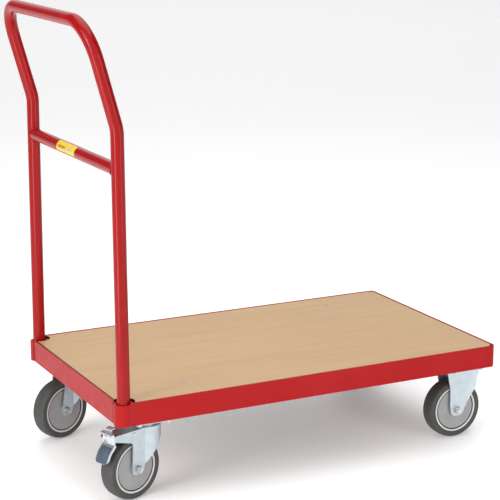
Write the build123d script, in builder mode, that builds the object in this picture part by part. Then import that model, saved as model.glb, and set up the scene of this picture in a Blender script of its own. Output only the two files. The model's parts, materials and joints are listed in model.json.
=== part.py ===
from build123d import *
import math
import os

# Flatbed platform truck: a welded steel frame with a wood-based deck let into it, a push handle
# whose posts stand in corner sockets, two swivel castors under the handle end (one with a foot
# brake) and two fixed castors under the front end.
#
# Millimetres. +X points to the front end, the handle stands at -X, +Z is up and the floor is
# z = 0. The origin is on the floor, in the middle of the whole truck's length and width.
# "near" is the -Y side and "far" is the +Y side.

# ---------------------------------------------------------------- driving sizes
# platform
deck_length = 850.0        # over the frame's end faces
deck_width = 500.0         # over the frame's side faces
frame_height = 46.0        # depth of the frame's outer face
rail_wall = 3.0
corner_radius = 12.0       # outside radius of the two front corners
ledge_reach = 22.0         # how far the board's ledge stands in from the frame's outer face
board_thickness = 15.0
board_gap = 2.0            # slot between the board and the frame's lip
board_sink = 0.6           # the board lies this far under the lip
board_corner_radius = 14.0

# handle
tube_diameter = 25.4
tube_wall = 2.0
post_inset_x = 15.8        # post axis from the frame's rear face
post_inset_y = 18.5        # socket axis from the frame's side face
post_splay = 1.2           # the post's foot stands this far outside the socket's axis
post_toe_in = 0.75         # degrees the posts lean towards each other
handle_height = 927.0      # floor to the top of the handle
kink_height = 720.0        # where the posts start to lean back
handle_lean = 15.6         # degrees
kink_bend_radius = 80.0    # on the tube's centre line
top_bend_radius = 70.0
crossbar_height = 646.0
crossbar_diameter = 25.0
label_length = 95.0
label_shift = 11.0         # middle of the label towards the far side
label_thickness = 0.4
label_start_angle = 105.0  # degrees round the crossbar, from the front, seen from the near side
label_end_angle = 205.0

# handle sockets
socket_wall = 4.6
socket_room = 3.4          # the bore is this much wider than the tube
socket_stop_height = 3.0   # the ring at the bottom that the post stands on
socket_stop_bore = 18.0
socket_top_drop = 4.0      # the socket's rim lies this far under the lip
socket_rim_round = 1.2
notch_clearance = 3.0      # board to socket

# under the deck
channel_width = 40.0
channel_wall = 3.0
rear_channel_x = 165.0     # middle of the channel, from the rear face
front_channel_x = 684.0
mounting_plate_thickness = 4.0
mounting_plate_width = 125.0
deck_screw_inset = 71.0    # from the side face
deck_screw_radius = 2.5
deck_screw_head_radius = 5.0
deck_screw_head_depth = 2.8   # countersunk into the board, flush with its top
screw_clearance = 0.25     # radial, screw to its hole

# castors
castor_height = 160.0      # floor to the top of the castor's plate
wheel_radius = 62.5
tread_width = 35.0
tyre_depth = 13.3          # tread to the rim band
tyre_edge_radius = 6.0
tread_crown = 1.4          # the tread is this much lower at its edges
rim_width = 32.0
rim_band_thickness = 4.0
web_thickness = 6.0
hub_radius = 15.0
hub_length = 25.0
roller_radius = 2.0
roller_count = 9
sleeve_radius = 6.0
guard_gap = 2.2            # round the thread guard's edge
guard_thickness = 1.6
guard_recess = 1.0         # guard's outer face under the rim's
guard_collar_wall = 5.0
cage_gap = 0.3             # roller cage to sleeve and to hub
cage_end_gap = 0.5         # cage's ends under the hub's
roller_end_gap = 2.0
running_gap = 0.1

fork_wall = 2.5
fork_gap = 40.0            # between the fork's legs
leg_end_radius = 13.5
leg_corner_round = 12.5
# a corner is (place along the fork, height, radius): leg corners are measured from the axle, and
# a "drop" is measured down from the top of the castor's plate
head_lip_drop = 27.0       # where the swivel fork's head ends at the front
swivel_leg_end = [(17.5, 6.0, 10.0), (14.5, -7.5, 8.0), (-13.0, -12.0, 9.0)]
braked_leg_top_u = -10.5
braked_leg_top_drop = 42.5
braked_leg_top_round = 8.0
braked_arm_drop = 29.5
plain_leg_top_u = 1.5
crown_edge_round = 3.0
swivel_trail = 39.4        # swivel axis ahead of the axle
head_radius = 30.5         # outside of the swivel fork's round head
crown_drop = 18.0          # top of the swivel fork
swivel_inset_x = 76.2      # swivel axis from the rear face
swivel_inset_y = 58.6      # swivel axis from the side face
fixed_inset_x = 66.7       # fixed castor's axle from the front face
fixed_inset_y = 62.2       # middle of a fixed castor from the side face
flare_start = 27.0         # where a fixed fork's legs start to spread, ahead of the axle
flare_step = 5.0           # how far they spread each side
fixed_leg_front = [(43.0, 44.5, 20.0), (18.5, 1.5, 10.0)]
fixed_leg_back = [(-17.0, 12.5, 10.0), (-17.0, 43.5, 20.0)]
fixed_top_round = 0.5
near_turn = 18.3           # degrees the swivel castors stand turned about +Z
far_turn = 19.1

top_plate_length = 80.0    # along the truck
top_plate_width = 105.0
top_plate_thickness = 3.5
top_plate_corner = 8.0
fixed_plate_shift = 12.0   # middle of a fixed castor's plate, ahead of its axle
bolt_spacing_x = 60.0
bolt_spacing_y = 80.0
ball_radius = 2.5
ball_circle_radius = 17.0
ball_count = 16
race_gap = 0.3
race_outer_radius = 23.0
race_inner_radius = 13.0
lower_race_height = 4.0    # ring on top of the fork's crown
upper_race_depth = 6.5     # ring under the castor's plate
king_pin_radius = 6.0
king_pin_head_radius = 10.0
king_pin_head_height = 4.0

# metric fasteners: thread radius, width across flats, head and nut heights
m8_radius = 4.0
m8_flats = 13.0
m8_head = 5.3
m8_nut = 6.5
m8_hole_radius = 4.25
washer_radius = 8.0
washer_thickness = 1.2
m5_flats = 8.0
m5_nut = 4.0
thread_past_nut = 2.0

# foot brake
# u is a place along the fork from the axle, ahead is positive, and a drop is measured down from
# the top of the castor's plate
arm_end_u = -55.0          # rear end of the braked fork's arms
crown_end_u = -44.0        # rear end of its crown, between the arms
brake_pivot_u = -7.8
brake_pivot_drop = 25.5
brake_pin_radius = 2.5
brake_pin_head_radius = 4.0
brake_pin_head_height = 1.2
pedal_sheet = 2.0
pedal_width = 34.0
pedal_corner_round = 8.0
pedal_face_u = -51.5       # upright face of the pedal
pedal_bend_drop = 39.0     # where the face bends out to the toe pad
pedal_pad = [(-65.0, 54.0), (-73.0, 72.0)]   # corners as u and drop
pedal_pad_round = 12.0
pedal_flange_depth = 5.0
pedal_arm_drop = 29.0      # where the arm meets the face
release_tab_drop = 8.0     # the narrow tab over the pedal that lets the brake off
release_tab_reach = 9.0
release_tab_width = 17.0
release_tab_foot_drop = 14.0
tread_drop = 16.0
tread_reach = 10.0
pedal_slot = (9.0, 4.5)
pedal_slot_drops = (22.5, 34.0)
pedal_slot_side = 8.0      # slot's middle from the pedal's middle, towards the far side
pivot_eye_wall = 2.0
shoe_back_u = -38.0
shoe_front_u = -16.0
shoe_width = 24.0
shoe_gap = 5.5             # shoe to tyre with the brake off

# ---------------------------------------------------------------- worked-out places
axle_height = wheel_radius
frame_bottom = castor_height
frame_top = frame_bottom + frame_height
board_top = frame_top - board_sink
board_bottom = board_top - board_thickness
mounting_plate_top = frame_bottom + mounting_plate_thickness

tube_radius = tube_diameter / 2
bar_height = handle_height - tube_radius
lean_run = (bar_height - kink_height) * math.tan(math.radians(handle_lean))
overhang = lean_run + tube_radius - post_inset_x
rear_x = (overhang - deck_length) / 2
front_x = rear_x + deck_length
side_y = deck_width / 2
post_x = rear_x + post_inset_x
post_y = side_y - post_inset_y
bar_x = post_x - lean_run
socket_bore = tube_diameter + socket_room
socket_radius = socket_bore / 2 + socket_wall
socket_top = frame_top - socket_top_drop
post_foot = frame_bottom + socket_stop_height
foot_y = post_y + post_splay
toe_in = math.tan(math.radians(post_toe_in))
arm_y = foot_y - (kink_height - post_foot) * toe_in

channel_xs = [rear_x + rear_channel_x, rear_x + front_channel_x]
swivel_x = rear_x + swivel_inset_x
swivel_y = side_y - swivel_inset_y
fixed_x = front_x - fixed_inset_x
fixed_y = side_y - fixed_inset_y
deck_screw_y = side_y - deck_screw_inset
plate_bottom = castor_height - top_plate_thickness
crown_top = castor_height - crown_drop
brake_pivot_z = castor_height - brake_pivot_drop
crown_bottom = crown_top - fork_wall
fork_half = fork_gap / 2 + fork_wall
tyre_inner_radius = wheel_radius - tyre_depth
rim_inner_radius = tyre_inner_radius - rim_band_thickness
roller_circle_radius = sleeve_radius + running_gap + roller_radius
hub_bore_radius = roller_circle_radius + roller_radius + running_gap / 2
post_spots = [(post_x, -post_y), (post_x, post_y)]
rear_corner_y = side_y - post_inset_y / 2
rear_corner_spots = [(rear_x + post_inset_x / 2, side * rear_corner_y) for side in (-1, 1)]
fixed_plate_x = fixed_x + fixed_plate_shift
plate_spots = [(swivel_x, -swivel_y), (swivel_x, swivel_y), (fixed_plate_x, -fixed_y), (fixed_plate_x, fixed_y)]

os.makedirs("parts", exist_ok=True)


def save(piece, node):
    """Label a finished piece and write it as one STEP file."""
    piece.label = node
    export_step(piece, f"parts/{node}.step")


# ---------------------------------------------------------------- frame
# sections of a rail: local x runs inwards from the outer face, local y up from the bottom edge
ledge_rise = board_bottom - frame_bottom - rail_wall / 2
with BuildSketch() as wall_section:
    with Locations((rail_wall / 2, frame_height / 2)):
        Rectangle(rail_wall, frame_height)
with BuildSketch() as ledge_section:
    with Locations(((rail_wall + ledge_reach) / 2, ledge_rise)):
        Rectangle(ledge_reach - rail_wall, rail_wall)

with BuildPart() as socket_seats:
    # the room both corner sockets take out of the rails that meet them
    with BuildSketch(Plane.XY.offset(frame_bottom)):
        with Locations(*post_spots):
            Circle(socket_radius)
    extrude(amount=frame_height)

side_rail_length = front_x - corner_radius - post_x
for side, name in ((-1, "side_rail_near"), (1, "side_rail_far")):
    rail_start = Plane(origin=(post_x, side * side_y, frame_bottom), x_dir=(0, -side, 0), z_dir=(-side, 0, 0))
    with BuildPart() as side_rail:
        with BuildSketch(rail_start):
            add(wall_section.sketch)
            add(ledge_section.sketch)
        extrude(amount=-side * side_rail_length)
        add(socket_seats.part, mode=Mode.SUBTRACT)
    save(side_rail.part, name)

with BuildPart() as end_rail_rear:
    with BuildSketch(Plane(origin=(rear_x, 0, frame_bottom), x_dir=(1, 0, 0), z_dir=(0, -1, 0))):
        add(wall_section.sketch)
        add(ledge_section.sketch)
    extrude(amount=post_y, both=True)
    add(socket_seats.part, mode=Mode.SUBTRACT)
save(end_rail_rear.part, "end_rail_rear")

with BuildPart() as end_rail_front:
    front_start = Plane(origin=(front_x, 0, frame_bottom), x_dir=(-1, 0, 0), z_dir=(0, 1, 0))
    with BuildSketch(front_start):
        add(wall_section.sketch)
    extrude(amount=side_y - corner_radius, both=True)
    with BuildSketch(front_start):
        add(ledge_section.sketch)
    extrude(amount=side_y - ledge_reach, both=True)
save(end_rail_front.part, "end_rail_front")

with BuildPart() as front_corners:
    for side in (-1, 1):
        corner_x = front_x - corner_radius
        corner_y = side * (side_y - corner_radius)
        corner_start = Plane(origin=(front_x, corner_y, frame_bottom), x_dir=(-1, 0, 0), z_dir=(0, 1, 0))
        with BuildSketch(corner_start):
            add(wall_section.sketch)
        revolve(axis=Axis((corner_x, corner_y, 0), (0, 0, side)), revolution_arc=90)
save(front_corners.part, "front_corners")

with BuildPart() as handle_sockets:
    with BuildSketch(Plane.XY.offset(frame_bottom)):
        with Locations(*post_spots):
            Circle(socket_radius)
            Circle(socket_stop_bore / 2, mode=Mode.SUBTRACT)
    extrude(amount=socket_top - frame_bottom)
    with BuildSketch(Plane.XY.offset(post_foot)):
        with Locations(*post_spots):
            Circle(socket_bore / 2)
    extrude(amount=socket_top - post_foot, mode=Mode.SUBTRACT)
    fillet(handle_sockets.edges().group_by(Axis.Z)[-1], radius=socket_rim_round)
save(handle_sockets.part, "handle_sockets")

# two inverted channels carry the board and stiffen the castor plates
channel_half_span = side_y - ledge_reach
channel_height = board_bottom - frame_bottom
with BuildPart() as cross_channels:
    with BuildSketch(Plane.XZ):
        for channel_x in channel_xs:
            with Locations((channel_x, frame_bottom + channel_height / 2)):
                Rectangle(channel_width, channel_height)
            with Locations((channel_x, frame_bottom + (channel_height - channel_wall) / 2)):
                Rectangle(channel_width - 2 * channel_wall, channel_height - channel_wall, mode=Mode.SUBTRACT)
    extrude(amount=channel_half_span, both=True)
    with BuildSketch(Plane.XY.offset(board_bottom)):
        with Locations(*[(x, y) for x in channel_xs for y in (-deck_screw_y, deck_screw_y)]):
            Circle(deck_screw_radius + screw_clearance)
    extrude(amount=-channel_wall, mode=Mode.SUBTRACT)
save(cross_channels.part, "cross_channels")

plate_spans = [
    (rear_x + rail_wall, channel_xs[0] - channel_width / 2),
    (channel_xs[1] + channel_width / 2, front_x - rail_wall),
]
bolt_spots = [
    (x + i * bolt_spacing_x / 2, y + j * bolt_spacing_y / 2)
    for x, y in plate_spots
    for i in (-1, 1)
    for j in (-1, 1)
]
with BuildPart() as castor_mounting_plates:
    with BuildSketch(Plane.XY.offset(frame_bottom)) as plates_plan:
        for start, end in plate_spans:
            for side in (-1, 1):
                plate_y = side * (side_y - rail_wall - mounting_plate_width / 2)
                with Locations(((start + end) / 2, plate_y)):
                    Rectangle(end - start, mounting_plate_width)
        front_outer_corners = plates_plan.vertices().group_by(Axis.X)[-1].sort_by(Axis.Y)
        fillet([front_outer_corners[0], front_outer_corners[-1]], radius=corner_radius - rail_wall)
        with Locations(*post_spots):
            Circle(socket_radius, mode=Mode.SUBTRACT)
        with Locations(*rear_corner_spots):
            Rectangle(post_inset_x, post_inset_y, mode=Mode.SUBTRACT)
        with Locations(*bolt_spots):
            Circle(m8_hole_radius, mode=Mode.SUBTRACT)
    extrude(amount=mounting_plate_thickness)
save(castor_mounting_plates.part, "castor_mounting_plates")

# ---------------------------------------------------------------- deck board and its screws
screw_spots = [(x, y) for x in channel_xs for y in (-deck_screw_y, deck_screw_y)]
with BuildPart() as screw_heads:
    # countersunk heads, also taken out of the board
    with Locations(*[(x, y, board_top) for x, y in screw_spots]):
        Cone(
            deck_screw_radius, deck_screw_head_radius, deck_screw_head_depth,
            align=(Align.CENTER, Align.CENTER, Align.MAX),
        )

board_inset = rail_wall + board_gap
with BuildPart() as deck_board:
    with BuildSketch(Plane.XY.offset(board_bottom)) as board_plan:
        with Locations(((rear_x + front_x) / 2, 0)):
            Rectangle(deck_length - 2 * board_inset, deck_width - 2 * board_inset)
        fillet(board_plan.vertices().group_by(Axis.X)[-1], radius=board_corner_radius)
        with Locations(*post_spots):
            Circle(socket_radius + notch_clearance, mode=Mode.SUBTRACT)
        with Locations(*rear_corner_spots):
            Rectangle(post_inset_x, post_inset_y, mode=Mode.SUBTRACT)
        with Locations(*screw_spots):
            Circle(deck_screw_radius + screw_clearance, mode=Mode.SUBTRACT)
    extrude(amount=board_thickness)
    add(screw_heads.part, mode=Mode.SUBTRACT)
save(deck_board.part, "deck_board")

with BuildPart() as deck_screws:
    shank_length = board_thickness + channel_wall + m5_nut + thread_past_nut
    with BuildSketch(Plane.XY.offset(board_top)):
        with Locations(*screw_spots):
            Circle(deck_screw_radius)
    extrude(amount=-shank_length)
    add(screw_heads.part)
save(deck_screws.part, "deck_screws")

with BuildPart() as deck_nuts:
    with BuildSketch(Plane.XY.offset(board_bottom - channel_wall - m5_nut)):
        with Locations(*screw_spots):
            RegularPolygon(m5_flats / 2, 6, major_radius=False)
            Circle(deck_screw_radius, mode=Mode.SUBTRACT)
    extrude(amount=m5_nut)
save(deck_nuts.part, "deck_nuts")

# ---------------------------------------------------------------- castor bolts
with BuildPart() as castor_bolts:
    with BuildSketch(Plane.XY.offset(plate_bottom)):
        with Locations(*bolt_spots):
            RegularPolygon(m8_flats / 2, 6, major_radius=False)
    extrude(amount=-m8_head)
    with BuildSketch(Plane.XY.offset(plate_bottom)):
        with Locations(*bolt_spots):
            Circle(m8_radius)
    extrude(amount=mounting_plate_top + m8_nut + thread_past_nut - plate_bottom)
save(castor_bolts.part, "castor_bolts")

with BuildPart() as castor_nuts:
    with BuildSketch(Plane.XY.offset(mounting_plate_top)):
        with Locations(*bolt_spots):
            RegularPolygon(m8_flats / 2, 6, major_radius=False)
            Circle(m8_radius, mode=Mode.SUBTRACT)
    extrude(amount=m8_nut)
save(castor_nuts.part, "castor_nuts")

# ---------------------------------------------------------------- push handle
with BuildLine() as handle_path:
    FilletPolyline(
        (post_x, -foot_y - tube_radius * toe_in, post_foot - tube_radius),
        (post_x, -arm_y, kink_height),
        (bar_x, -arm_y, bar_height),
        (bar_x, arm_y, bar_height),
        (post_x, arm_y, kink_height),
        (post_x, foot_y + tube_radius * toe_in, post_foot - tube_radius),
        radius=[kink_bend_radius, top_bend_radius, top_bend_radius, kink_bend_radius],
    )
path_start = Plane(origin=handle_path.line @ 0, x_dir=(1, 0, 0), z_dir=handle_path.line % 0)

with BuildPart() as handle_room:
    # the room the handle's tube takes up, bore and all
    with BuildSketch(path_start):
        Circle(tube_radius)
    sweep(path=handle_path.wire())

with BuildPart() as push_handle:
    with BuildSketch(path_start):
        Circle(tube_radius)
        Circle(tube_radius - tube_wall, mode=Mode.SUBTRACT)
    sweep(path=handle_path.wire())
    split(bisect_by=Plane.XY.offset(post_foot), keep=Keep.TOP)
save(push_handle.part, "push_handle")

crossbar_radius = crossbar_diameter / 2
with BuildPart() as handle_crossbar:
    with BuildSketch(Plane.XZ):
        with Locations((post_x, crossbar_height)):
            Circle(crossbar_radius)
            Circle(crossbar_radius - tube_wall, mode=Mode.SUBTRACT)
    extrude(amount=arm_y, both=True)
    add(handle_room.part, mode=Mode.SUBTRACT)
save(handle_crossbar.part, "handle_crossbar")

with BuildPart() as handle_label:
    with BuildSketch(Plane(origin=(post_x, label_shift, crossbar_height), x_dir=(1, 0, 0), z_dir=(0, -1, 0))):
        with BuildLine():
            label_outer = CenterArc((0, 0), crossbar_radius + label_thickness, label_start_angle,
                                    label_end_angle - label_start_angle)
            label_inner = CenterArc((0, 0), crossbar_radius, label_start_angle,
                                    label_end_angle - label_start_angle)
            Line(label_outer @ 0, label_inner @ 0)
            Line(label_outer @ 1, label_inner @ 1)
        make_face()
    extrude(amount=label_length / 2, both=True)
save(handle_label.part, "handle_label")


# ---------------------------------------------------------------- castor planes
def side_plane(axle, turn):
    """Upright plane in the middle of a wheel. Local x points to the fork's leading end, local y
    up, both from the axle, and the plane faces the near side."""
    angle = math.radians(turn)
    forward = (math.cos(angle), math.sin(angle), 0)
    nearside = (math.sin(angle), -math.cos(angle), 0)
    return Plane(origin=(axle[0], axle[1], axle_height), x_dir=forward, z_dir=nearside)


def axle_plane(axle, turn):
    """Plane through the axle for turned pieces: local x along the axle, local y outwards."""
    angle = math.radians(turn)
    nearside = (math.sin(angle), -math.cos(angle), 0)
    backward = (-math.cos(angle), -math.sin(angle), 0)
    return Plane(origin=(axle[0], axle[1], axle_height), x_dir=nearside, z_dir=backward)


def level_plane(spot, turn, height):
    """Level plane over a castor, turned with its fork."""
    angle = math.radians(turn)
    return Plane(origin=(spot[0], spot[1], height), x_dir=(math.cos(angle), math.sin(angle), 0), z_dir=(0, 0, 1))


def rise(height):
    """Height above the floor as a height above the axle."""
    return height - axle_height


def hang(drop):
    """Drop under the top of the castor's plate as a height above the axle."""
    return rise(castor_height - drop)


# ---------------------------------------------------------------- wheels
def build_wheel(name, axle, turn):
    """Tyre, wheel centre and roller bearing of one wheel: the pieces that turn."""
    section = axle_plane(axle, turn)
    spin_axis = Axis(section.origin, section.x_dir)
    half_tread = tread_width / 2
    half_rim = rim_width / 2

    with BuildPart() as tyre:
        with BuildSketch(section) as tyre_section:
            with BuildLine():
                Polyline(
                    (half_tread, wheel_radius - tread_crown),
                    (half_tread, tyre_inner_radius + tyre_edge_radius),
                    (half_rim, tyre_inner_radius),
                    (-half_rim, tyre_inner_radius),
                    (-half_tread, tyre_inner_radius + tyre_edge_radius),
                    (-half_tread, wheel_radius - tread_crown),
                )
                ThreePointArc(
                    (-half_tread, wheel_radius - tread_crown),
                    (0, wheel_radius),
                    (half_tread, wheel_radius - tread_crown),
                )
            make_face()
            fillet(tyre_section.vertices().group_by(Axis.Y)[-1], radius=tyre_edge_radius)
        revolve(axis=spin_axis)
    save(tyre.part, f"tyre_{name}")

    with BuildPart() as wheel_centre:
        with BuildSketch(section):
            with Locations((0, (rim_inner_radius + tyre_inner_radius) / 2)):
                Rectangle(rim_width, rim_band_thickness)
            with Locations((0, (hub_bore_radius + rim_inner_radius) / 2)):
                Rectangle(web_thickness, rim_inner_radius - hub_bore_radius)
            with Locations((0, (hub_bore_radius + hub_radius) / 2)):
                Rectangle(hub_length, hub_radius - hub_bore_radius)
        revolve(axis=spin_axis)
    save(wheel_centre.part, f"wheel_centre_{name}")

    middle = side_plane(axle, turn)
    cage_inner = sleeve_radius + cage_gap
    cage_outer = hub_bore_radius - cage_gap
    pocket_radius = roller_radius + running_gap
    with BuildPart() as roller_bearing:
        with BuildSketch(middle):
            Circle(cage_outer)
            Circle(cage_inner, mode=Mode.SUBTRACT)
        extrude(amount=hub_length / 2 - cage_end_gap, both=True)
        with BuildSketch(middle):
            with PolarLocations(roller_circle_radius, roller_count):
                Circle(pocket_radius)
        extrude(amount=hub_length / 2 - roller_end_gap, both=True, mode=Mode.SUBTRACT)
        with BuildSketch(middle):
            with PolarLocations(roller_circle_radius, roller_count):
                Circle(roller_radius)
        extrude(amount=hub_length / 2 - roller_end_gap, both=True)
    save(roller_bearing.part, f"roller_bearing_{name}")


def build_axle(name, axle, turn):
    """Thread guards, sleeve and washers, bolt and nut of one wheel: the pieces the fork clamps."""
    section = axle_plane(axle, turn)
    axle_axis = Axis(section.origin, section.x_dir)
    middle = side_plane(axle, turn)
    guard_face = rim_width / 2 - guard_recess
    guard_radius = rim_inner_radius - guard_gap

    with BuildPart() as thread_guards:
        with BuildSketch(section):
            for side in (-1, 1):
                with Locations((side * (guard_face - guard_thickness / 2), (sleeve_radius + guard_radius) / 2)):
                    Rectangle(guard_thickness, guard_radius - sleeve_radius)
                collar = fork_gap / 2 - guard_face
                with Locations((side * (guard_face + collar / 2), sleeve_radius + guard_collar_wall / 2)):
                    Rectangle(collar, guard_collar_wall)
        revolve(axis=axle_axis)
    save(thread_guards.part, f"thread_guards_{name}")

    seat = fork_half + washer_thickness
    with BuildPart() as axle_spacers:
        with BuildSketch(middle):
            Circle(sleeve_radius)
            Circle(m8_radius + running_gap, mode=Mode.SUBTRACT)
        extrude(amount=fork_gap / 2, both=True)
        for washer_plane in (middle.offset(fork_half), middle.offset(-seat)):
            with BuildSketch(washer_plane):
                Circle(washer_radius)
                Circle(m8_radius + running_gap, mode=Mode.SUBTRACT)
            extrude(amount=washer_thickness)
    save(axle_spacers.part, f"axle_spacers_{name}")

    with BuildPart() as axle_bolt:
        with BuildSketch(middle.offset(-seat)):
            RegularPolygon(m8_flats / 2, 6, major_radius=False)
        extrude(amount=-m8_head)
        with BuildSketch(middle.offset(-seat)):
            Circle(m8_radius)
        extrude(amount=2 * seat + m8_nut + thread_past_nut)
    save(axle_bolt.part, f"axle_bolt_{name}")

    with BuildPart() as axle_nut:
        with BuildSketch(middle.offset(seat)):
            RegularPolygon(m8_flats / 2, 6, major_radius=False)
            Circle(m8_radius, mode=Mode.SUBTRACT)
        extrude(amount=m8_nut)
    save(axle_nut.part, f"axle_nut_{name}")


# ---------------------------------------------------------------- forks
with BuildSketch() as top_plate_plan:
    RectangleRounded(top_plate_length, top_plate_width, top_plate_corner)
    with GridLocations(bolt_spacing_x, bolt_spacing_y, 2, 2):
        Circle(m8_hole_radius, mode=Mode.SUBTRACT)


def swivel_fork_outline(has_brake):
    """Side view of a swivel fork: corners as place along the fork, height over the axle and radius."""
    front = swivel_trail + head_radius
    crown = hang(crown_drop)
    corners = [
        (front, crown, crown_edge_round),
        (front, hang(head_lip_drop), crown_edge_round),
        *swivel_leg_end,
    ]
    if has_brake:
        corners += [
            (braked_leg_top_u, hang(braked_leg_top_drop), braked_leg_top_round),
            (arm_end_u, hang(braked_arm_drop), crown_edge_round),
            (arm_end_u, crown, crown_edge_round),
        ]
    else:
        corners += [(plain_leg_top_u, crown, crown_edge_round)]
    return corners


def build_swivel_fork(name, spot, axle, turn, has_brake):
    """Pressed fork: a round head about the swivel axis and two straight legs."""
    middle = side_plane(axle, turn)
    outline = swivel_fork_outline(has_brake)
    past_head = head_radius + 1
    tail = 3 * wheel_radius
    ball_height = (crown_top + lower_race_height + plate_bottom - upper_race_depth) / 2

    with BuildPart() as fork:
        with BuildSketch(middle):
            with BuildLine():
                FilletPolyline(
                    *[(u, up) for u, up, r in outline],
                    radius=[r for u, up, r in outline],
                    close=True,
                )
            make_face()
        extrude(amount=past_head, both=True)
        with BuildSketch(level_plane(spot, turn, crown_top)) as outer_plan:
            Circle(head_radius)
            with Locations((-tail / 2, 0)):
                Rectangle(tail, 2 * fork_half)
        extrude(amount=-crown_top, mode=Mode.INTERSECT)
        with BuildSketch(level_plane(spot, turn, crown_bottom)):
            Circle(head_radius - fork_wall)
            with Locations((-tail / 2, 0)):
                Rectangle(tail, fork_gap)
        extrude(amount=-crown_bottom, mode=Mode.SUBTRACT)
        if has_brake:
            with BuildSketch(level_plane(spot, turn, crown_top)):
                with Locations((crown_end_u - swivel_trail - tail / 2, 0)):
                    Rectangle(tail, fork_gap)
            extrude(amount=-fork_wall, mode=Mode.SUBTRACT)
        with BuildSketch(level_plane(spot, turn, crown_top)):
            Circle(race_outer_radius)
            Circle(race_inner_radius, mode=Mode.SUBTRACT)
        extrude(amount=lower_race_height)
        with BuildSketch(level_plane(spot, turn, crown_top)):
            Circle(king_pin_radius + running_gap)
        extrude(amount=-fork_wall, mode=Mode.SUBTRACT)
        groove_centre = Plane(origin=(spot[0], spot[1], ball_height), x_dir=(1, 0, 0), z_dir=(0, -1, 0))
        with BuildSketch(groove_centre):
            with Locations((ball_circle_radius, 0)):
                Circle(ball_radius + race_gap)
        revolve(axis=Axis((spot[0], spot[1], 0), (0, 0, 1)), mode=Mode.SUBTRACT)
        with BuildSketch(middle):
            Circle(m8_radius + running_gap)
            if has_brake:
                with Locations((brake_pivot_u, rise(brake_pivot_z))):
                    Circle(brake_pin_radius)
        extrude(amount=past_head, both=True, mode=Mode.SUBTRACT)
    save(fork.part, f"fork_{name}")

    with BuildPart() as swivel_balls:
        ball_plane = level_plane(spot, turn, ball_height)
        with Locations(ball_plane):
            with PolarLocations(ball_circle_radius, ball_count):
                Sphere(ball_radius)
    save(swivel_balls.part, f"swivel_balls_{name}")

    with BuildPart() as top_plate:
        with BuildSketch(level_plane(spot, 0, plate_bottom)):
            add(top_plate_plan.sketch)
            Circle(king_pin_radius, mode=Mode.SUBTRACT)
        extrude(amount=top_plate_thickness)
        with BuildSketch(level_plane(spot, 0, plate_bottom)):
            Circle(race_outer_radius)
            Circle(king_pin_radius, mode=Mode.SUBTRACT)
        extrude(amount=-upper_race_depth)
        with BuildSketch(groove_centre):
            with Locations((ball_circle_radius, 0)):
                Circle(ball_radius + race_gap)
        revolve(axis=Axis((spot[0], spot[1], 0), (0, 0, 1)), mode=Mode.SUBTRACT)
    save(top_plate.part, f"top_plate_{name}")

    head_top = crown_bottom - race_gap
    with BuildPart() as king_pin:
        with BuildSketch(level_plane(spot, 0, head_top)):
            Circle(king_pin_radius)
        extrude(amount=castor_height - head_top)
        with BuildSketch(level_plane(spot, 0, head_top)):
            Circle(king_pin_head_radius)
        extrude(amount=-king_pin_head_height)
    save(king_pin.part, f"king_pin_{name}")


def build_fixed_fork(name, axle):
    """Fixed fork: castor plate and two legs that flare towards the front, pressed in one."""
    middle = side_plane(axle, 0)
    back = fixed_plate_shift - top_plate_length / 2
    front = fixed_plate_shift + top_plate_length / 2
    foot = -leg_end_radius
    legs_top = rise(plate_bottom + top_plate_thickness / 2)
    outline = [
        (back, legs_top, fixed_top_round),
        (front, legs_top, fixed_top_round),
        *fixed_leg_front,
        (leg_end_radius, foot, leg_corner_round),
        (-leg_end_radius, foot, leg_corner_round),
        *fixed_leg_back,
    ]
    with BuildPart() as fork:
        with BuildSketch(middle):
            with BuildLine():
                FilletPolyline(
                    *[(u, up) for u, up, r in outline],
                    radius=[r for u, up, r in outline],
                    close=True,
                )
            make_face()
        extrude(amount=fork_half + flare_step, both=True)
        for half, top, mode in (
            (fork_half, castor_height, Mode.INTERSECT),
            (fork_gap / 2, plate_bottom, Mode.SUBTRACT),
        ):
            with BuildSketch(level_plane(axle, 0, top)):
                Polygon(
                    (back - 1, -half), (flare_start, -half), (front + 1, -half - flare_step),
                    (front + 1, half + flare_step), (flare_start, half), (back - 1, half), align=None,
                )
            extrude(amount=-castor_height, mode=mode)
        plate_spot = (axle[0] + fixed_plate_shift, axle[1])
        with BuildSketch(level_plane(plate_spot, 0, plate_bottom)):
            add(top_plate_plan.sketch)
        extrude(amount=top_plate_thickness)
        with BuildSketch(middle):
            Circle(m8_radius + running_gap)
        extrude(amount=fork_half + flare_step, both=True, mode=Mode.SUBTRACT)
    save(fork.part, f"fork_{name}")


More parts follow.
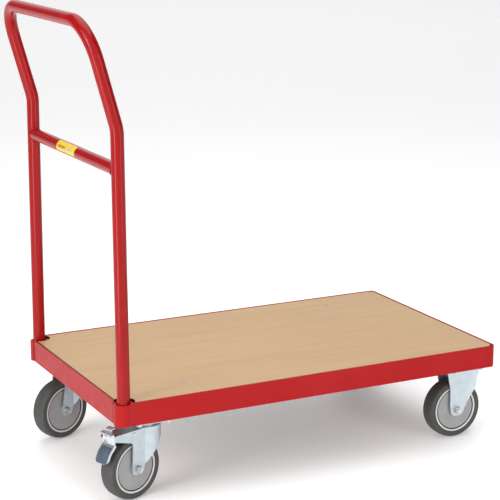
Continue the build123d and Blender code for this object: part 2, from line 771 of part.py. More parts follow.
# ---------------------------------------------------------------- foot brake
def build_brake(axle, turn):
    """Total-stop brake of the near swivel castor: pedal, shoe and pivot pin."""
    middle = side_plane(axle, turn)
    pivot = (brake_pivot_u, rise(brake_pivot_z))
    arm_tip = (pedal_face_u, hang(pedal_arm_drop))
    half = pedal_sheet / 2
    flange_shift = (pedal_flange_depth - pedal_sheet) / 2
    pad_foot = hang(pedal_pad[-1][1])
    tab_top = hang(release_tab_drop)
    tab_foot = hang(release_tab_foot_drop)
    tread = hang(tread_drop)
    body_depth = 2 * wheel_radius

    with BuildPart() as brake_pedal:
        with BuildSketch(middle):
            with BuildLine() as arm_line:
                Line(pivot, arm_tip)
            trace(arm_line.line, line_width=pedal_sheet)
            with BuildLine() as face_line:
                FilletPolyline(
                    (pedal_face_u + release_tab_reach, tab_top),
                    (pedal_face_u, tab_top),
                    (pedal_face_u, hang(pedal_bend_drop)),
                    *[(u, hang(drop)) for u, drop in pedal_pad],
                    radius=(pedal_sheet, pedal_corner_round, pedal_pad_round),
                )
            trace(face_line.line, line_width=pedal_sheet)
            with BuildLine() as tread_line:
                Line((pedal_face_u, tread), (pedal_face_u - tread_reach, tread - half))
            trace(tread_line.line, line_width=pedal_sheet)
            with Locations(pivot):
                Circle(brake_pin_radius + pivot_eye_wall)
                Circle(brake_pin_radius + running_gap, mode=Mode.SUBTRACT)
        extrude(amount=pedal_width / 2, both=True)
        for side in (-1, 1):
            with BuildSketch(middle.offset(side * (pedal_width - pedal_sheet) / 2)):
                with BuildLine() as flange_line:
                    FilletPolyline(
                        (pedal_face_u + flange_shift, hang(pedal_bend_drop)),
                        *[(u + flange_shift, hang(drop)) for u, drop in pedal_pad],
                        radius=pedal_pad_round,
                    )
                trace(flange_line.line, line_width=pedal_flange_depth)
            extrude(amount=half, both=True)
        with BuildSketch(axle_plane(axle, turn)):
            with Locations((0, (pad_foot + tab_foot) / 2)):
                RectangleRounded(pedal_width, tab_foot - pad_foot, pedal_corner_round)
            with Locations((0, tab_foot)):
                Rectangle(release_tab_width, 2 * (tab_top + pedal_sheet - tab_foot))
            for slot_drop in pedal_slot_drops:
                with Locations((-pedal_slot_side, hang(slot_drop))):
                    Rectangle(*pedal_slot, mode=Mode.SUBTRACT)
        extrude(amount=body_depth, both=True, mode=Mode.INTERSECT)
    save(brake_pedal.part, "brake_pedal")

    slope = (arm_tip[1] - pivot[1]) / (arm_tip[0] - pivot[0])
    under = half * math.sqrt(1 + slope * slope)
    shoe_tops = [(u, pivot[1] + slope * (u - pivot[0]) - under) for u in (shoe_back_u, shoe_front_u)]
    with BuildPart() as brake_shoe:
        with BuildSketch(middle):
            Polygon(*shoe_tops, (shoe_front_u, 0), (shoe_back_u, 0), align=None)
            Circle(wheel_radius + shoe_gap, mode=Mode.SUBTRACT)
        extrude(amount=shoe_width / 2, both=True)
    save(brake_shoe.part, "brake_shoe")

    with BuildPart() as brake_pin:
        with BuildSketch(middle):
            with Locations(pivot):
                Circle(brake_pin_radius)
        extrude(amount=fork_half, both=True)
        for side in (-1, 1):
            with BuildSketch(middle.offset(side * fork_half)):
                with Locations(pivot):
                    Circle(brake_pin_head_radius)
            extrude(amount=side * brake_pin_head_height)
    save(brake_pin.part, "brake_pivot_pin")


swivel_castors = [
    ("swivel_near", (swivel_x, -swivel_y), near_turn, True),
    ("swivel_far", (swivel_x, swivel_y), far_turn, False),
]
for name, spot, turn, has_brake in swivel_castors:
    angle = math.radians(turn)
    axle = (spot[0] - swivel_trail * math.cos(angle), spot[1] - swivel_trail * math.sin(angle))
    build_wheel(name, axle, turn)
    build_axle(name, axle, turn)
    build_swivel_fork(name, spot, axle, turn, has_brake)
    if has_brake:
        build_brake(axle, turn)

for name, axle in (("fixed_near", (fixed_x, -fixed_y)), ("fixed_far", (fixed_x, fixed_y))):
    build_wheel(name, axle, 0)
    build_axle(name, axle, 0)
    build_fixed_fork(name, axle)
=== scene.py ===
# %% [markdown]
# A flatbed platform truck: a red steel frame with a beech-pattern board let into it, a bent tube
# handle standing in two corner sockets, and four castors. The solid model comes in first as a
# fixed frame. Everything after that gives the pieces their surfaces and adds the small shapes
# that make steel look pressed and welded.

# %% Load the frame
import bmesh
import bpy
import json
import math
from mathutils import Matrix, Vector


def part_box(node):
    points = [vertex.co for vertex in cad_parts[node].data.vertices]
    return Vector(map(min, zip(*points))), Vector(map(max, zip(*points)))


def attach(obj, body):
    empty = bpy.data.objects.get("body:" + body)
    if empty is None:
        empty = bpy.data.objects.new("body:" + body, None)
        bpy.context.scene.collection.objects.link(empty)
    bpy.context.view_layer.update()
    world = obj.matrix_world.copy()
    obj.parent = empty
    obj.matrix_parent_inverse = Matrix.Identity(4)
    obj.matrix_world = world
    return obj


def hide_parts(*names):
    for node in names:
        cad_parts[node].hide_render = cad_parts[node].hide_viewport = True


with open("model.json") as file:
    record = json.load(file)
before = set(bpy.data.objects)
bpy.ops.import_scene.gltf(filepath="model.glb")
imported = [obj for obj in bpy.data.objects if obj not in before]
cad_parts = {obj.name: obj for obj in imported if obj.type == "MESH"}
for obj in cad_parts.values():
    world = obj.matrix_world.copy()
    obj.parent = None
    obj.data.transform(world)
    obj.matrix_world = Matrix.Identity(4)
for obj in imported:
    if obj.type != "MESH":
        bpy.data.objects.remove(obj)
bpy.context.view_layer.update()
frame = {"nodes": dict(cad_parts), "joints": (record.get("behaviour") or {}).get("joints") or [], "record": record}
nodes = frame["nodes"]

# %% [markdown]
# The truck is seen from the handle end and a little from above, with a long lens, as a product
# is shown in a catalogue. The camera's place is measured from the frame's rear face.

# %% Camera
rear_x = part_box("end_rail_rear")[0][0]
camera_spot = Vector((rear_x - 1.0959, -2.9502, 1.2045))
look_turn = math.radians(-26.88)   # from +Y, towards -X
look_down = math.radians(13.57)
view_line = Vector((
    -math.sin(look_turn) * math.cos(look_down),
    math.cos(look_turn) * math.cos(look_down),
    -math.sin(look_down),
))
camera_data = bpy.data.cameras.new("studio_camera")
camera_data.sensor_width = 36.0
camera_data.lens = 118.17
camera = bpy.data.objects.new("studio_camera", camera_data)
camera.rotation_euler = view_line.to_track_quat("-Z", "Y").to_euler()
camera.location = camera_spot
bpy.context.scene.collection.objects.link(camera)
bpy.context.scene.camera = camera
print("camera at", tuple(round(c, 4) for c in camera_spot))

# %% [markdown]
# A soft light at the handle's side makes the end face lighter than the long side, as a studio's
# window would. A weaker one in front and one overhead keep the shadows pale. The camera looks
# down, so an upright tube mirrors what stands low beside it: two tall strips that reach the floor
# draw the bright lines down the posts. The last light falls on the floor far behind.

# %% Light
def soft_light(name, spot, aim, width, height, power):
    """A flat rectangular light at spot that faces aim."""
    lamp = bpy.data.lights.new(name, "AREA")
    lamp.shape = "RECTANGLE"
    lamp.size = width
    lamp.size_y = height
    lamp.energy = power
    holder = bpy.data.objects.new(name, lamp)
    holder.location = spot
    holder.rotation_euler = (Vector(aim) - Vector(spot)).to_track_quat("-Z", "Y").to_euler()
    bpy.context.scene.collection.objects.link(holder)
    return holder


middle = (0.0, 0.0, 0.3)
low = 0.75
soft_light("key", (-2.8, -0.6, 1.7), middle, 1.4, 1.4, 22)
soft_light("front_fill", (1.4, -3.0, 1.5), middle, 2.2, 2.2, 10)
soft_light("overhead", (0.2, 0.3, 3.2), middle, 3.0, 3.0, 50)
soft_light("backdrop", (3.5, 8.0, 6.0), (3.0, 7.0, 0.0), 7.0, 7.0, 75)
soft_light("handle_strip", (rear_x - 1.3, -0.8, low), (rear_x, 0.0, low), 0.40, 1.5, 11)
soft_light("front_strip", (0.9, -2.3, low), (rear_x, 0.0, low), 0.40, 1.5, 7)

# %% [markdown]
# Round red tubes look flat when everything about them is white. A studio hangs a dark card each
# side of the set, so that a tube's edges reflect it and turn darker than its middle. Here the
# world does the same: white behind the truck, overhead and behind the camera, dark at both sides.

# %% World
world = bpy.data.worlds.new("studio")
world.use_nodes = True
sky = world.node_tree
background = sky.nodes["Background"]
direction = sky.nodes.new("ShaderNodeTexCoord").outputs["Generated"]
backdrop_line = Vector((view_line.x, view_line.y, 0.0)).normalized()


def facing(axis, low, high):
    """Grows from 0 to 1 as a direction turns towards an axis."""
    dot = sky.nodes.new("ShaderNodeVectorMath")
    dot.operation = "DOT_PRODUCT"
    dot.inputs[1].default_value = axis
    sky.links.new(direction, dot.inputs[0])
    ramp = sky.nodes.new("ShaderNodeMapRange")
    ramp.interpolation_type = "SMOOTHSTEP"
    ramp.inputs["From Min"].default_value = low
    ramp.inputs["From Max"].default_value = high
    sky.links.new(dot.outputs["Value"], ramp.inputs["Value"])
    return ramp.outputs["Result"]


def brighter(first, second):
    """The larger of two values."""
    larger = sky.nodes.new("ShaderNodeMath")
    larger.operation = "MAXIMUM"
    sky.links.new(first, larger.inputs[0])
    sky.links.new(second, larger.inputs[1])
    return larger.outputs[0]


white = brighter(facing(backdrop_line, 0.72, 0.90), facing(-backdrop_line, 0.25, 0.75))
white = brighter(white, facing(Vector((0, 0, 1)), 0.60, 1.05))
level = sky.nodes.new("ShaderNodeMapRange")
level.inputs["To Min"].default_value = 0.12
level.inputs["To Max"].default_value = 1.0
sky.links.new(white, level.inputs["Value"])
sky.links.new(level.outputs["Result"], background.inputs["Strength"])
background.inputs["Color"].default_value = (1.0, 1.0, 1.0, 1.0)
bpy.context.scene.world = world
bpy.context.scene.view_settings.view_transform = "Standard"
print("world ready")

# %% [markdown]
# A material here is a small net of nodes. These helpers start a material and build the parts
# that come back in every finish: a noise on the object's own coordinates, a ramp
# between two values, and a bump.

# %% Material helpers
def start(name, colour, roughness, metallic=0.0):
    """A new material with its shader, and the object's own coordinates."""
    made = bpy.data.materials.new(name)
    made.use_nodes = True
    made.diffuse_color = (*colour, 1.0)
    tree = made.node_tree
    shader = tree.nodes["Principled BSDF"]
    shader.inputs["Base Color"].default_value = (*colour, 1.0)
    shader.inputs["Roughness"].default_value = roughness
    shader.inputs["Metallic"].default_value = metallic
    place = tree.nodes.new("ShaderNodeTexCoord").outputs["Object"]
    return made, tree, shader, place


def noise(tree, place, scale, detail=3.0, stretch=(1.0, 1.0, 1.0), roughness=0.5):
    """A noise value from 0 to 1 on stretched coordinates."""
    turned = tree.nodes.new("ShaderNodeMapping")
    turned.inputs["Scale"].default_value = stretch
    tree.links.new(place, turned.inputs["Vector"])
    cloud = tree.nodes.new("ShaderNodeTexNoise")
    cloud.inputs["Scale"].default_value = scale
    cloud.inputs["Detail"].default_value = detail
    cloud.inputs["Roughness"].default_value = roughness
    tree.links.new(turned.outputs["Vector"], cloud.inputs["Vector"])
    return cloud.outputs["Fac"]


def between(tree, value, low, high, out_low, out_high):
    """Maps a value from one span to another, held inside it."""
    mapped = tree.nodes.new("ShaderNodeMapRange")
    for socket, number in zip(("From Min", "From Max", "To Min", "To Max"), (low, high, out_low, out_high)):
        mapped.inputs[socket].default_value = number
    tree.links.new(value, mapped.inputs["Value"])
    return mapped.outputs["Result"]


def mixed(tree, share, first, second):
    """A colour between two others. Each is a colour or a socket."""
    mix = tree.nodes.new("ShaderNodeMix")
    mix.data_type = "RGBA"
    colours = [s for s in mix.inputs if s.type == "RGBA"]
    for socket, colour in zip(colours, (first, second)):
        if isinstance(colour, tuple):
            socket.default_value = (*colour, 1.0)
        else:
            tree.links.new(colour, socket)
    if isinstance(share, float):
        mix.inputs[0].default_value = share
    else:
        tree.links.new(share, mix.inputs[0])
    return [s for s in mix.outputs if s.type == "RGBA"][0]


def bump(tree, shader, height, depth, strength=1.0, after=None):
    """Raises the surface by a height value times depth, in metres."""
    bumped = tree.nodes.new("ShaderNodeBump")
    bumped.inputs["Distance"].default_value = depth
    bumped.inputs["Strength"].default_value = strength
    tree.links.new(height, bumped.inputs["Height"])
    if after is not None:
        tree.links.new(after, bumped.inputs["Normal"])
    tree.links.new(bumped.outputs["Normal"], shader.inputs["Normal"])
    return bumped.outputs["Normal"]


def edge_mask(tree, radius):
    """1 close to sharp edges and 0 on open faces, from how a rounded normal leaves the true one."""
    rounded = tree.nodes.new("ShaderNodeBevel")
    rounded.samples = 6
    rounded.inputs["Radius"].default_value = radius
    true = tree.nodes.new("ShaderNodeNewGeometry")
    dot = tree.nodes.new("ShaderNodeVectorMath")
    dot.operation = "DOT_PRODUCT"
    tree.links.new(rounded.outputs["Normal"], dot.inputs[0])
    tree.links.new(true.outputs["Normal"], dot.inputs[1])
    return between(tree, dot.outputs["Value"], 0.99, 0.80, 0.0, 1.0)


print("helpers ready")

# %% [markdown]
# The frame and the handle are powder coated. Powder flows out as it bakes, so it keeps a very
# fine orange peel, stays a little glossy, and is thinner and so a shade lighter on edges. The
# handle's tube is smoother than the welded frame, so the same recipe is used twice.

# %% Powder coat
def powder_coat(name, colour, light, roughness, peel, gloss):
    made, tree, shader, place = start(name, colour, roughness)
    drift = noise(tree, place, 9.0, 2.0)
    tone = mixed(tree, between(tree, drift, 0.3, 0.7, 0.0, 0.35), colour, light)
    wear = edge_mask(tree, 0.0012)
    tone = mixed(tree, between(tree, wear, 0.0, 1.0, 0.0, 0.45), tone, light)
    tree.links.new(tone, shader.inputs["Base Color"])
    smudge = noise(tree, place, 40.0, 4.0)
    gloss_drift = between(tree, smudge, 0.3, 0.75, roughness - 0.05, roughness + 0.08)
    tree.links.new(gloss_drift, shader.inputs["Roughness"])
    bump(tree, shader, noise(tree, place, 650.0, 2.0), peel)
    shader.inputs["Specular IOR Level"].default_value = gloss
    return made


frame_red = powder_coat(
    "frame_powder_coat", (0.37, 0.006, 0.007), (0.43, 0.018, 0.020), 0.33, 0.00006, 0.13,
)
handle_red = powder_coat(
    "handle_powder_coat", (0.30, 0.003, 0.004), (0.35, 0.008, 0.010), 0.13, 0.00001, 0.24,
)
# The weld coat is the frame's red made darker: painted shade for the crevices along the seams. Its second, lighter
# tone, mixed in on the bead edges and by a slow noise, is painted highlight.
weld_red_painted_shade = powder_coat(
    "weld_powder_coat", (0.17, 0.002, 0.003), (0.33, 0.006, 0.008), 0.20, 0.00002, 0.40,
)
print("powder coats made")

# %% [markdown]
# The deck is a pressed board with a beech pattern: straight pale grain along the truck, with
# short darker flecks. Two noises stretched along X make the grain and the flecks, and a slow one
# makes the boards of the pattern a little uneven. Every face that doesn't look up, and the top's
# edges, are painted almost black: painted shade for the gap between the board and the frame, which
# is the thin dark line that shows inside the frame's lip.

# %% Beech board
def beech(name):
    made, tree, shader, place = start(name, (0.584, 0.37, 0.177), 0.45)
    slow = noise(tree, place, 3.0, 2.0, (0.6, 2.5, 1.0))
    grain = noise(tree, place, 14.0, 6.0, (0.35, 14.0, 14.0), 0.6)
    flecks = noise(tree, place, 60.0, 2.0, (0.8, 9.0, 9.0), 0.4)
    tone = mixed(tree, between(tree, slow, 0.3, 0.7, 0.0, 1.0), (0.525, 0.330, 0.160), (0.490, 0.302, 0.141))
    tone = mixed(tree, between(tree, grain, 0.35, 0.75, 0.0, 0.45), tone, (0.43, 0.250, 0.106))
    tone = mixed(tree, between(tree, flecks, 0.62, 0.72, 0.0, 0.28), tone, (0.345, 0.190, 0.080))
    # Faces that don't look up, and the edges, turn almost black: painted shade for the gap inside the frame's lip.
    upright = tree.nodes.new("ShaderNodeSeparateXYZ")
    tree.links.new(tree.nodes.new("ShaderNodeTexCoord").outputs["Normal"], upright.inputs[0])
    tone = mixed(tree, between(tree, upright.outputs["Z"], 0.2, 0.6, 0.0, 1.0), (0.020, 0.012, 0.008), tone)
    rim = between(tree, edge_mask(tree, 0.0016), 0.0, 0.5, 0.0, 1.0)
    tone = mixed(tree, rim, tone, (0.030, 0.018, 0.012))
    tree.links.new(tone, shader.inputs["Base Color"])
    tree.links.new(between(tree, grain, 0.3, 0.7, 0.40, 0.52), shader.inputs["Roughness"])
    bump(tree, shader, grain, 0.00004)
    return made


board_finish = beech("beech_pattern")
print("board finish made")

# %% [markdown]
# Forks, castor plates and pedal are zinc plated: pale, faintly blue and a little cloudy, with
# fine scratches from the drum they were plated in. Bolts and bearing steel are the same metal
# with other tones.

# %% Zinc and steel
def plated(name, colour, cloud_colour, roughness, metallic, scratch=0.00002):
    made, tree, shader, place = start(name, colour, roughness, metallic)
    cloud = noise(tree, place, 55.0, 4.0)
    fine = noise(tree, place, 420.0, 3.0, (1.0, 1.0, 0.25))
    tone = mixed(tree, between(tree, cloud, 0.3, 0.7, 0.0, 1.0), colour, cloud_colour)
    tree.links.new(tone, shader.inputs["Base Color"])
    dullness = between(tree, fine, 0.3, 0.75, roughness - 0.07, roughness + 0.10)
    tree.links.new(dullness, shader.inputs["Roughness"])
    bump(tree, shader, fine, scratch)
    return made


zinc = plated("blue_zinc", (0.54, 0.61, 0.65), (0.46, 0.53, 0.56), 0.36, 0.80)
pedal_zinc = plated("pedal_zinc", (0.66, 0.70, 0.75), (0.56, 0.61, 0.66), 0.30, 0.85)
fastener_steel = plated("bolt_zinc", (0.62, 0.64, 0.64), (0.46, 0.48, 0.48), 0.26, 0.95)
screw_steel = plated("screw_heads", (0.40, 0.37, 0.31), (0.34, 0.31, 0.26), 0.55, 0.4)
bearing_steel = plated("bearing_steel", (0.42, 0.42, 0.43), (0.34, 0.34, 0.35), 0.30, 1.0)
print("metals made")

# %% [markdown]
# The wheels are moulded: dark grey rubber tyres, light grey plastic centres and mid grey covers.
# Rubber is matt and slightly dusty, plastic has a fine moulded grain.

# %% Rubber and plastic
def moulded(name, colour, second, roughness, grain_scale, grain_depth, specular=0.5):
    made, tree, shader, place = start(name, colour, roughness)
    dust = noise(tree, place, 70.0, 4.0)
    tone = mixed(tree, between(tree, dust, 0.35, 0.75, 0.0, 1.0), colour, second)
    tree.links.new(tone, shader.inputs["Base Color"])
    dullness = between(tree, dust, 0.3, 0.7, roughness - 0.06, roughness + 0.06)
    tree.links.new(dullness, shader.inputs["Roughness"])
    bump(tree, shader, noise(tree, place, grain_scale, 2.0), grain_depth)
    shader.inputs["Specular IOR Level"].default_value = specular
    return made


tyre_rubber = moulded("tyre_rubber", (0.052, 0.052, 0.050), (0.070, 0.070, 0.067), 0.62, 1500.0, 0.00004, 0.4)
wheel_plastic = moulded("wheel_plastic", (0.66, 0.64, 0.60), (0.60, 0.58, 0.55), 0.45, 1800.0, 0.00002)
guard_plastic = moulded("guard_plastic", (0.315, 0.315, 0.32), (0.285, 0.285, 0.29), 0.50, 1800.0, 0.00002)
shoe_rubber = moulded("shoe_rubber", (0.030, 0.030, 0.030), (0.045, 0.045, 0.045), 0.70, 1200.0, 0.00006, 0.3)
# Near-black and nearly without gloss: painted shade, for the ring laid in the gap between guard and rim.
seal_rubber = moulded(
    "seal_rubber", (0.008, 0.008, 0.008), (0.014, 0.014, 0.014), 0.80, 1200.0, 0.00002, 0.08,
)
print("moulded finishes made")

# %% [markdown]
# The label on the crossbar is a yellow film with plain blocks of colour where such a label has
# its marks: a row of small dark red squares and a pale patch. The blocks are drawn from the
# object's own Y and Z, so they stay on the film.

# %% Label
label_low, label_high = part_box("handle_label")


def band(tree, value, low, high):
    """1 between low and high, 0 outside."""
    above = tree.nodes.new("ShaderNodeMath")
    above.operation = "GREATER_THAN"
    above.inputs[1].default_value = low
    below = tree.nodes.new("ShaderNodeMath")
    below.operation = "LESS_THAN"
    below.inputs[1].default_value = high
    both = tree.nodes.new("ShaderNodeMath")
    both.operation = "MULTIPLY"
    tree.links.new(value, above.inputs[0])
    tree.links.new(value, below.inputs[0])
    tree.links.new(above.outputs[0], both.inputs[0])
    tree.links.new(below.outputs[0], both.inputs[1])
    return both.outputs[0]


def block(tree, tone, along, up, spans, colour):
    """Lays a rectangle of colour over tone."""
    inside = tree.nodes.new("ShaderNodeMath")
    inside.operation = "MULTIPLY"
    tree.links.new(band(tree, along, *spans[0]), inside.inputs[0])
    tree.links.new(band(tree, up, *spans[1]), inside.inputs[1])
    return mixed(tree, inside.outputs[0], tone, colour)


def label_film(name):
    made, tree, shader, place = start(name, (0.80, 0.56, 0.04), 0.35)
    split = tree.nodes.new("ShaderNodeSeparateXYZ")
    tree.links.new(place, split.inputs[0])
    along = between(tree, split.outputs["Y"], label_high[1], label_low[1], 0.0, 1.0)
    up = between(tree, split.outputs["Z"], label_low[2], label_high[2], 0.0, 1.0)
    tone = mixed(tree, noise(tree, place, 300.0), (0.80, 0.56, 0.04), (0.74, 0.50, 0.03))
    square_span = (0.36, 0.66)
    light_square, dark_square = (0.42, 0.10, 0.04), (0.30, 0.07, 0.04)
    for spans, colour in (
        (((0.09, 0.15), square_span), light_square),
        (((0.17, 0.23), square_span), dark_square),
        (((0.25, 0.31), square_span), light_square),
        (((0.33, 0.39), square_span), dark_square),
        (((0.41, 0.47), square_span), light_square),
        (((0.60, 0.82), (0.30, 0.70)), (0.48, 0.50, 0.44)),
        (((0.63, 0.79), (0.46, 0.54)), (0.30, 0.30, 0.26)),
    ):
        tone = block(tree, tone, along, up, spans, colour)
    tree.links.new(tone, shader.inputs["Base Color"])
    tree.links.new(between(tree, noise(tree, place, 120.0), 0.3, 0.7, 0.30, 0.42), shader.inputs["Roughness"])
    bump(tree, shader, noise(tree, place, 500.0), 0.00003)
    return made


label_yellow = label_film("label_film")
print("label made")

# %% [markdown]
# Each node of the solid model takes the finish of its slot in the record. Pressed and cut steel
# never has a knife edge, so a Weld modifier joins the loose triangles and a narrow Bevel rounds
# the edges. A Weighted Normal keeps the flat faces flat.

# %% Dress the solid model
finishes = {
    "frame_red": (frame_red, 0.0007),
    "handle_red": (handle_red, 0.0),
    "beech_board": (board_finish, 0.0004),
    "zinc": (zinc, 0.0005),
    "pedal_steel": (pedal_zinc, 0.0004),
    "fastener_steel": (fastener_steel, 0.0004),
    "bearing_steel": (bearing_steel, 0.0),
    "tyre_grey": (tyre_rubber, 0.0),
    "wheel_grey": (wheel_plastic, 0.0005),
    "guard_grey": (guard_plastic, 0.0004),
    "shoe_black": (shoe_rubber, 0.0006),
    "label_yellow": (label_yellow, 0.0),
}
for part in frame["record"]["subparts"]:
    piece = nodes[part["node"]]
    finish, edge = finishes[part["material_slot"]]
    if part["node"] == "deck_screws":
        finish = screw_steel
    piece.data.materials.clear()
    piece.data.materials.append(finish)
    if edge:
        weld = piece.modifiers.new("weld", "WELD")
        weld.merge_threshold = 0.00001
        bevel = piece.modifiers.new("edges", "BEVEL")
        bevel.width = edge
        bevel.segments = 2
        bevel.limit_method = "ANGLE"
        bevel.angle_limit = math.radians(40)
        bevel.use_clamp_overlap = True
        piece.modifiers.new("normals", "WEIGHTED_NORMAL")

# %% [markdown]
# The tyre is a turned shape: a tread with a faint mould line, rounded shoulders and a raised
# ring on each sidewall. One outline is spun round the wheel's own axle, which the joint gives.

# %% Tyres
def finish_piece(name, shape, finish, body, sharp=35):
    """Turns a bmesh into a smooth-shaded object that rides on a body."""
    data = bpy.data.meshes.new(name)
    shape.to_mesh(data)
    shape.free()
    data.polygons.foreach_set("use_smooth", [True] * len(data.polygons))
    data.set_sharp_from_angle(angle=math.radians(sharp))
    data.materials.append(finish)
    made = bpy.data.objects.new(name, data)
    bpy.context.scene.collection.objects.link(made)
    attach(made, body)
    return made


def turned(outline, centre, axis, steps=96):
    """Spins an outline of (radius, place along the axis) about an axis through centre."""
    shape = bmesh.new()
    rim = [shape.verts.new((radius, 0.0, along)) for radius, along in outline]
    edges = [shape.edges.new(pair) for pair in zip(rim, rim[1:] + rim[:1])]
    bmesh.ops.spin(
        shape, geom=rim + edges, cent=(0, 0, 0), axis=(0, 0, 1), angle=math.tau, steps=steps,
        use_merge=True,
    )
    bmesh.ops.remove_doubles(shape, verts=shape.verts, dist=1e-6)
    bmesh.ops.recalc_face_normals(shape, faces=shape.faces)
    stand = Vector(axis).to_track_quat("Z", "Y").to_matrix().to_4x4()
    bmesh.ops.transform(shape, matrix=Matrix.Translation(centre) @ stand, verts=shape.verts)
    return shape


half_tyre = [
    (62.50, 0.25), (62.35, 0.6), (62.30, 4.0), (61.95, 9.0), (61.35, 12.6), (60.6, 14.6), (59.4, 16.2),
    (57.8, 17.15), (56.6, 17.40), (56.2, 17.10), (54.4, 17.10), (54.0, 17.50), (52.6, 17.50), (50.6, 17.0),
    (49.3, 16.2),
]
tyre_outline = [(r / 1000, w / 1000) for r, w in half_tyre]
tyre_outline += [(r / 1000, -w / 1000) for r, w in reversed(half_tyre)]
wheel_joints = {joint["child"]: joint for joint in frame["joints"] if joint["name"].endswith("_roll")}
for body, joint in wheel_joints.items():
    name = body.replace("wheel_", "")
    tyre = turned(tyre_outline, Vector(joint["pos_m"]), joint["axis"], 128)
    tyre_piece = finish_piece(f"moulded_tyre_{name}", tyre, tyre_rubber, body, 50)
    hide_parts(f"tyre_{name}")
print("tyres", len(wheel_joints))

# %% [markdown]
# A narrow near-black ring fills the gap between each thread guard and the wheel's rim, a little
# under the rim: painted shade for the dark gap there, shaped like a seal. It is spun like the tyre,
# once for each side.

# %% Gap shade rings
gap_shade_outline = [(43.1, 12.8), (43.1, 14.9), (43.4, 15.2), (44.8, 15.2), (45.1, 14.9), (45.1, 12.8)]
for body, joint in wheel_joints.items():
    for side in (-1, 1):
        ring = [(radius / 1000, side * along / 1000) for radius, along in gap_shade_outline]
        shade_ring = turned(ring, Vector(joint["pos_m"]), joint["axis"])
        face = "near" if side > 0 else "far"
        finish_piece(f"gap_shade_ring_{body[6:]}_{face}", shade_ring, seal_rubber, body, 50)
print("seals", 2 * len(wheel_joints))

# %% [markdown]
# Rails, sockets and crossbar are joined by welds. A hand-laid weld looks like a row of overlapping
# coins, so each seam is a line of small flattened balls, sunk into the steel and painted with it.
# The socket seams take a darker red than the frame's: painted shade for their crevices. Those on
# the side faces lie deepest, so that they stay within the truck's width.

# %% Weld beads
def weld_seam(shape, points, radius, pitch):
    """Adds overlapping flattened balls along a line of points."""
    for begin, end in zip(points, points[1:]):
        begin, end = Vector(begin), Vector(end)
        run = end - begin
        count = max(1, round(run.length / pitch))
        stand = run.to_track_quat("Z", "Y").to_matrix().to_4x4()
        flat = Matrix.Diagonal((1.0, 1.0, 0.85, 1.0))
        for step in range(count):
            spot = begin + run * (step + 0.5) / count
            bmesh.ops.create_icosphere(
                shape, subdivisions=2, radius=radius, matrix=Matrix.Translation(spot) @ stand @ flat,
            )


post_x = sum(corner[0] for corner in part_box("handle_sockets")) / 2
far_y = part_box("side_rail_far")[1][1]
rail_low, rail_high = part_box("end_rail_rear")[0][2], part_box("end_rail_rear")[1][2]
seam_from_rear = 0.0265
seam_from_side = 0.0300
side_sink, end_sink = 0.0026, 0.0012
bead_radius, bead_pitch = 0.0031, 0.0044
seams = bmesh.new()
for side in (-1, 1):
    outer = side * far_y
    side_seam = (rear_x + seam_from_rear, outer - side * side_sink)
    end_seam = (rear_x + end_sink, side * (far_y - seam_from_side))
    for x, y in (side_seam, end_seam):
        weld_seam(seams, [(x, y, rail_low + 0.002), (x, y, rail_high - 0.003)], bead_radius, bead_pitch)
# The socket seams take the darker coat: painted shade in their crevices.
finish_piece("socket_welds", seams, weld_red_painted_shade, "chassis", 180)
print("socket seams 4")

# %% [markdown]
# The crossbar's ends are cut to fit round the posts and welded all round. The seam follows the
# cut, which is where two tubes of almost the same size cross.

# %% Crossbar welds
bar_low, bar_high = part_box("handle_crossbar")
bar_z = (bar_low[2] + bar_high[2]) / 2
bar_radius = (bar_high[2] - bar_low[2]) / 2
post_radius = 0.0127
ring_steps = 32
ring_lift = 1.03
ring_clear = 0.0006
ring_bead_radius, ring_bead_pitch = 0.0014, 0.0016
bar_seams = bmesh.new()
for side in (-1, 1):
    post_centre = side * max(abs(bar_low[1]), abs(bar_high[1]))
    ring = []
    for step in range(ring_steps + 1):
        angle = math.tau * step / ring_steps
        across = bar_radius * math.cos(angle)
        up = bar_radius * math.sin(angle)
        reach = math.sqrt(max(post_radius**2 - across**2, 0.0))
        ring_y = post_centre - side * (reach + ring_clear)
        ring.append((post_x + across * ring_lift, ring_y, bar_z + up * ring_lift))
    weld_seam(bar_seams, ring, ring_bead_radius, ring_bead_pitch)
finish_piece("crossbar_welds", bar_seams, handle_red, "handle", 180)
print("crossbar seams 2")

# %% [markdown]
# The foot presses on a dark pad on the pedal's lower face. Its outline from the side is a
# bent line of a few points behind the axle. The line is pulled out to the pad's width, its lower
# corners are rounded, and the sheet gets its thickness.

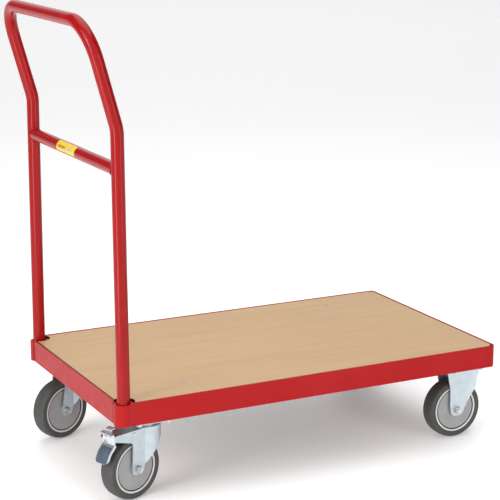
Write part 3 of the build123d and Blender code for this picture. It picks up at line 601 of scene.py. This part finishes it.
# %% Pedal pad
pad_steel = plated("pad_blue_steel", (0.085, 0.115, 0.165), (0.150, 0.185, 0.240), 0.42, 0.55, 0.0001)
axle_joint = wheel_joints["wheel_swivel_near"]
axle = Vector(axle_joint["pos_m"])
across = Vector(axle_joint["axis"]).normalized()
forward = Vector((0, 0, 1)).cross(across)
pad_line = [
    (-56.1, 117.9), (-63.96, 109.10), (-65.98, 106.65),
    (-67.41, 103.79), (-70.25, 97.39), (-73.78, 89.44),
]
pad_width = 0.0305
pad_thickness = 0.0006
pad_corner = 0.005
pad = bmesh.new()
pad_edge = axle - across * pad_width / 2
line = [
    pad.verts.new(pad_edge + forward * u / 1000 + Vector((0, 0, height / 1000 - axle.z)))
    for u, height in pad_line
]
line_edges = [pad.edges.new(pair) for pair in zip(line, line[1:])]
pulled = bmesh.ops.extrude_edge_only(pad, edges=line_edges)["geom"]
far_line = [item for item in pulled if isinstance(item, bmesh.types.BMVert)]
bmesh.ops.translate(pad, verts=far_line, vec=across * pad_width)
lowest = sorted(pad.verts, key=lambda v: v.co.z)[:2]
bmesh.ops.bevel(
    pad, geom=lowest, offset=pad_corner, segments=4, profile=0.5, affect="VERTICES", material=-1,
)
bmesh.ops.recalc_face_normals(pad, faces=pad.faces)
if sum(face.normal.dot(forward) for face in pad.faces) > 0:
    bmesh.ops.reverse_faces(pad, faces=pad.faces)
bmesh.ops.solidify(pad, geom=pad.faces[:], thickness=pad_thickness)
bmesh.ops.recalc_face_normals(pad, faces=pad.faces)
finish_piece("pedal_pad", pad, pad_steel, "brake")
print("pad", len(pad_line), "points")

# %% [markdown]
# The truck stands on a plain pale floor that reaches past the picture on all sides, so that its
# soft shadow has somewhere to lie. Like a lit studio floor it glows a little of its own.

# %% Floor
def pale_floor():
    made, tree, shader, place = start("pale_floor", (0.93, 0.93, 0.93), 0.6)
    cloud = noise(tree, place, 1.5, 3.0)
    tree.links.new(mixed(tree, cloud, (0.92, 0.92, 0.92), (0.94, 0.94, 0.94)), shader.inputs["Base Color"])
    shader.inputs["Emission Color"].default_value = (1.0, 1.0, 1.0, 1.0)
    shader.inputs["Emission Strength"].default_value = 0.22
    return made


ground = bmesh.new()
bmesh.ops.create_grid(ground, x_segments=2, y_segments=2, size=30.0)
ground_data = bpy.data.meshes.new("floor")
ground.to_mesh(ground_data)
ground.free()
ground_data.materials.append(pale_floor())
floor = bpy.data.objects.new("floor", ground_data)
bpy.context.scene.collection.objects.link(floor)
print("floor laid")
